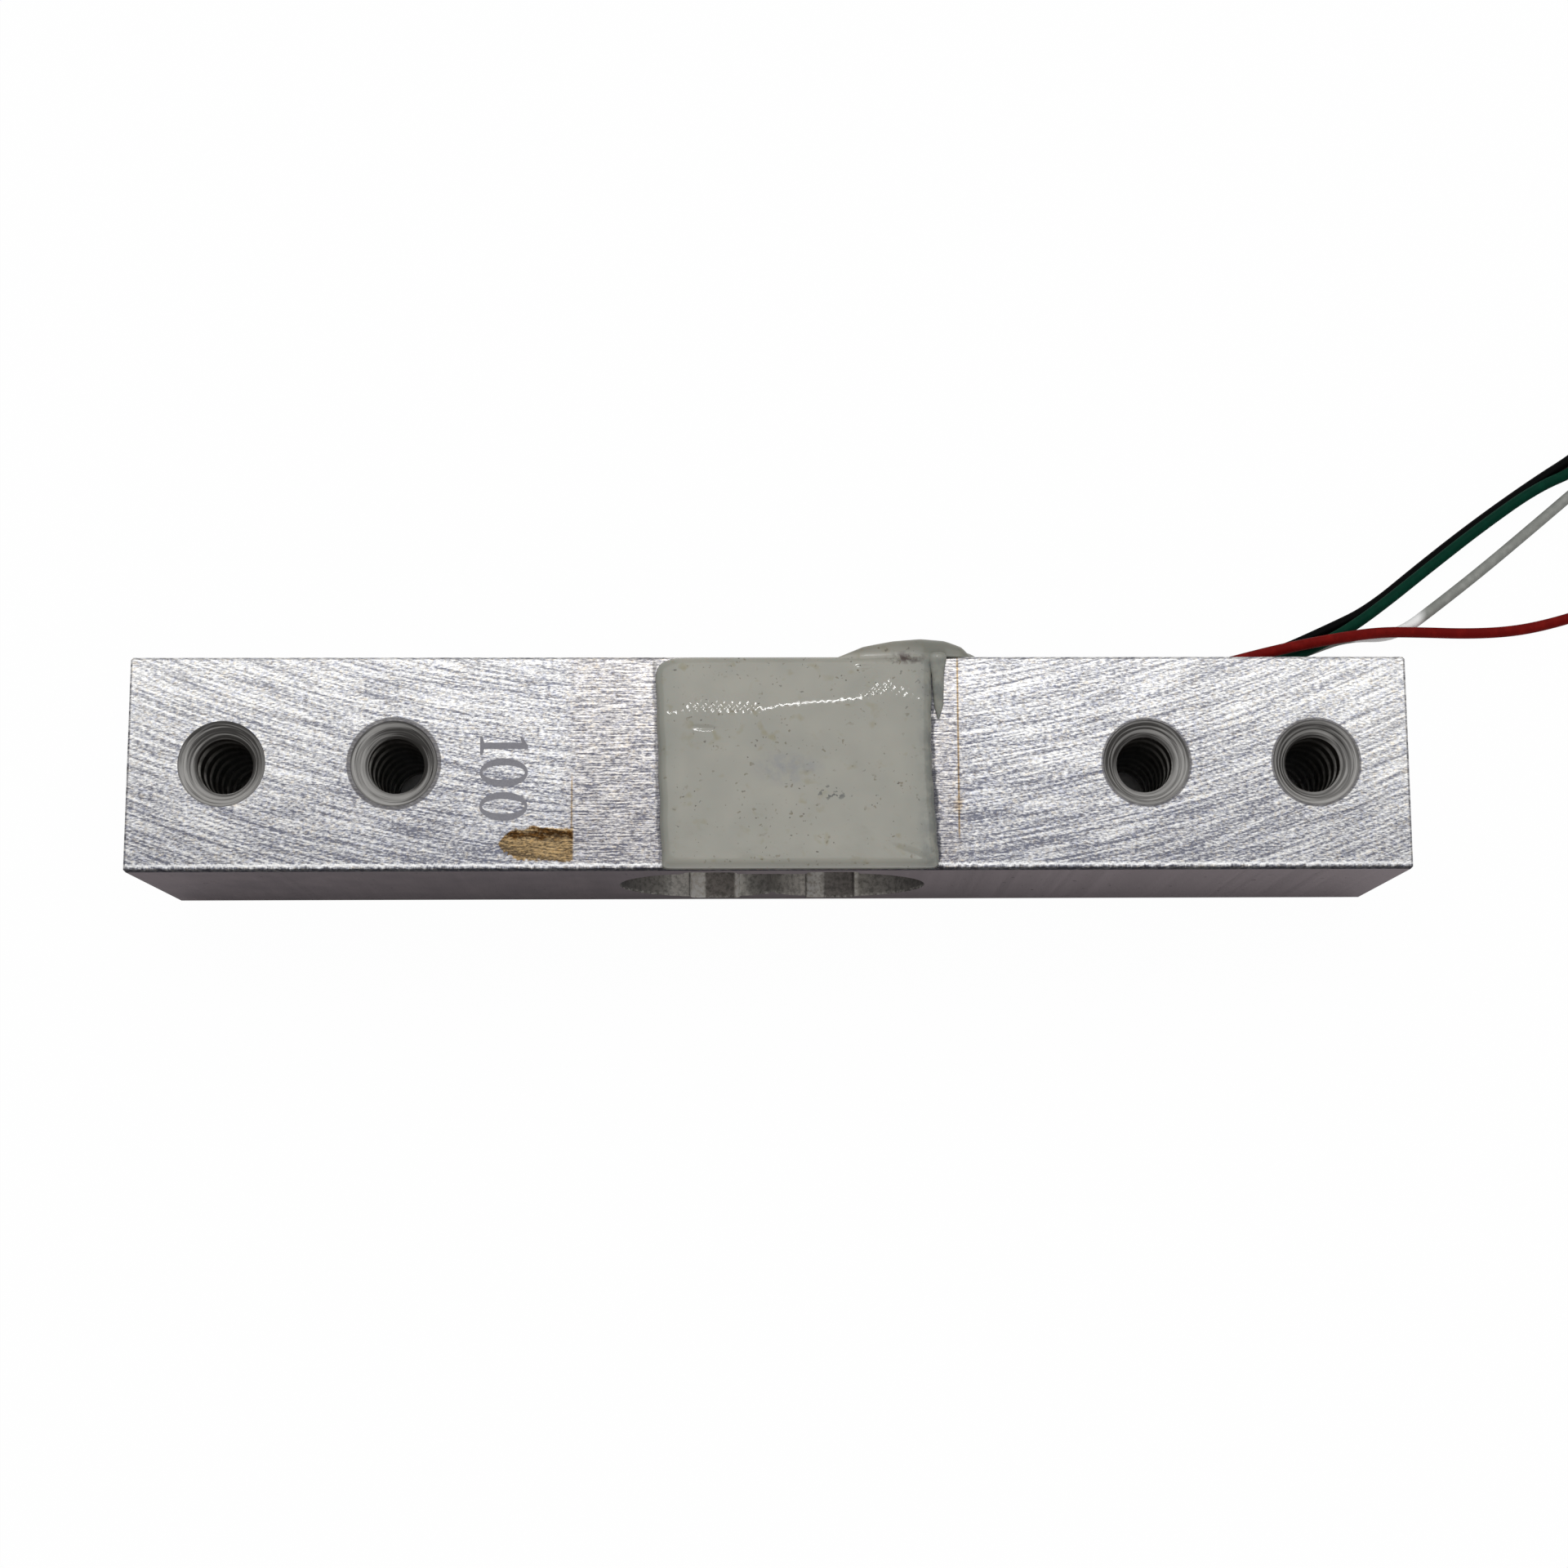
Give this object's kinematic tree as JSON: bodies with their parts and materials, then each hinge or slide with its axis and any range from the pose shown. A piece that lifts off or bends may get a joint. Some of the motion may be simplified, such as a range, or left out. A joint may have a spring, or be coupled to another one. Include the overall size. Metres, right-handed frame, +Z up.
{
  "type": "single point load cell",
  "caption": "Single point load cell: square aluminium beam with a binocular hole, tapped mounting holes, foil strain gauges under silicone sealant, and lead wires.",
  "frame": {"origin": "on the resting surface, under the middle of the beam", "axes": "+X along the beam towards the fixed end, where the leads leave; +Y towards the side the leads run along; +Z up, out of the face that the weighing pan is bolted to"},
  "size_m": [0.1093, 0.0362, 0.0143],
  "materials": {
    "aluminium_bar": "milled, fine sanded across the gauges' zone",
    "polyimide_film": "amber backing film with metal foil",
    "board_laminate": "glass-epoxy laminate with tinned copper lands",
    "solder": "tin solder",
    "enamelled_copper": "enamelled copper wire",
    "silicone_sealant": "translucent silicone, glossy",
    "red_pvc": "PVC insulation",
    "green_pvc": "PVC insulation",
    "black_pvc": "PVC insulation",
    "white_pvc": "PVC insulation",
    "tinned_strands": "tinned copper strands",
    "tie_nylon": "nylon"
  },
  "bodies": {
    "root": {"beam": "aluminium_bar", "top_load_end_gauge": "polyimide_film", "top_fixed_end_gauge": "polyimide_film", "top_gauge_wires": "enamelled_copper", "top_bridge_wires": "enamelled_copper", "bottom_load_end_gauge": "polyimide_film", "bottom_fixed_end_gauge": "polyimide_film", "bottom_gauge_wires": "enamelled_copper", "bottom_bridge_wires": "enamelled_copper", "top_terminal_board": "board_laminate", "top_solder_joints": "solder", "top_sealant": "silicone_sealant", "bottom_terminal_board": "board_laminate", "bottom_solder_joints": "solder", "bottom_sealant": "silicone_sealant", "side_terminal_board": "board_laminate", "side_solder_joints": "solder", "side_sealant": "silicone_sealant", "red_lead": "red_pvc", "red_lead_coil": "red_pvc", "red_lead_end": "tinned_strands", "green_lead": "green_pvc", "green_lead_coil": "green_pvc", "green_lead_end": "tinned_strands", "black_lead": "black_pvc", "black_lead_coil": "black_pvc", "black_lead_end": "tinned_strands", "white_lead": "white_pvc", "white_lead_coil": "white_pvc", "white_lead_end": "tinned_strands", "coil_tie": "tie_nylon"}
  },
  "joints": []
}
